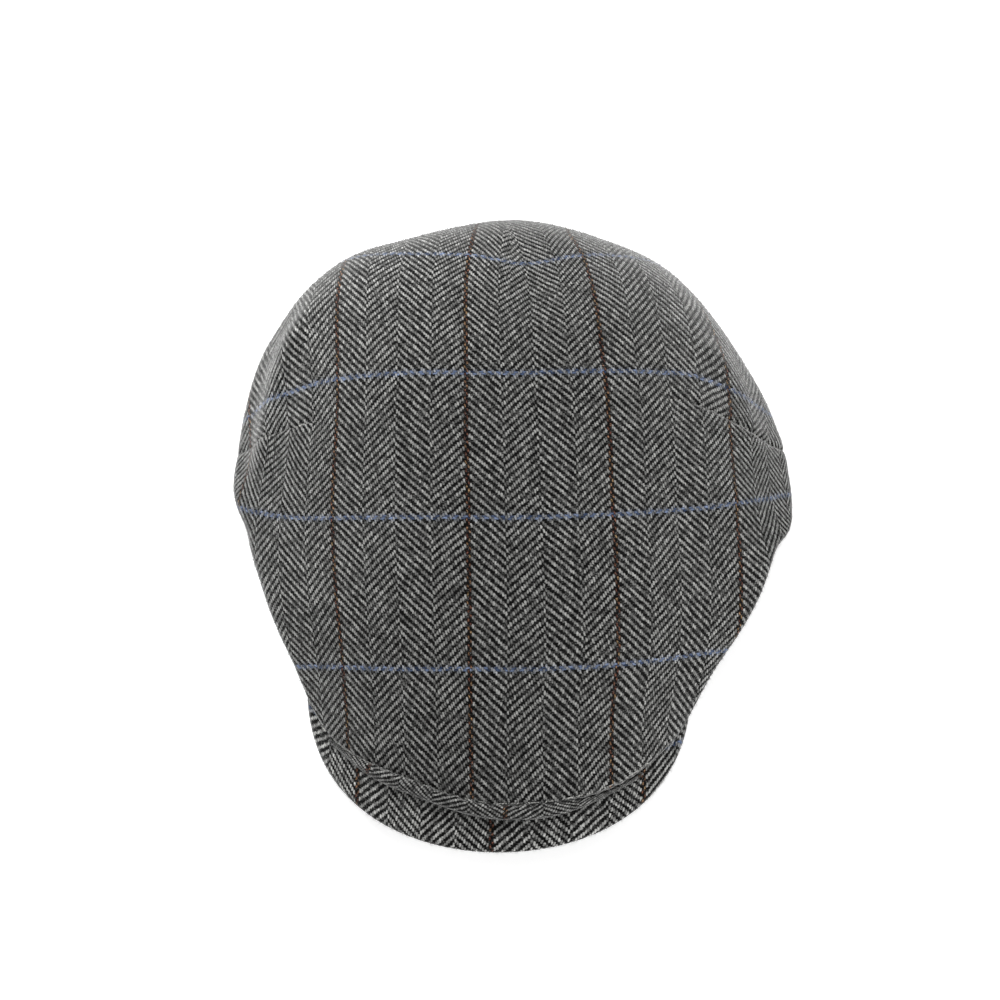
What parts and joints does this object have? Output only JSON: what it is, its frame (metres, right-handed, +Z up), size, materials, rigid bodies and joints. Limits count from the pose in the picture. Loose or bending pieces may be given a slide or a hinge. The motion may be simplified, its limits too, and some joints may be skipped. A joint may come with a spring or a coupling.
{
  "type": "flat cap",
  "caption": "Soft flat cap in grey herringbone tweed with fine blue and rust check lines: one-piece darted crown, rolled front edge and short stiff peak, open below for the head.",
  "frame": {"origin": "centre of the cap's box, on the surface that its rim rests on", "axes": "+Z up out of the crown's top, -Y forward along the peak, +X to the right of someone who looks at the peak from in front"},
  "size_m": [0.2344, 0.2726, 0.084],
  "materials": {
    "crown_tweed": "matte woven wool, herringbone",
    "roll_tweed": "matte woven wool, herringbone along the strip",
    "peak_tweed": "matte woven wool, herringbone"
  },
  "bodies": {
    "root": {"crown": "crown_tweed", "front_roll": "roll_tweed", "peak": "peak_tweed"}
  },
  "joints": []
}
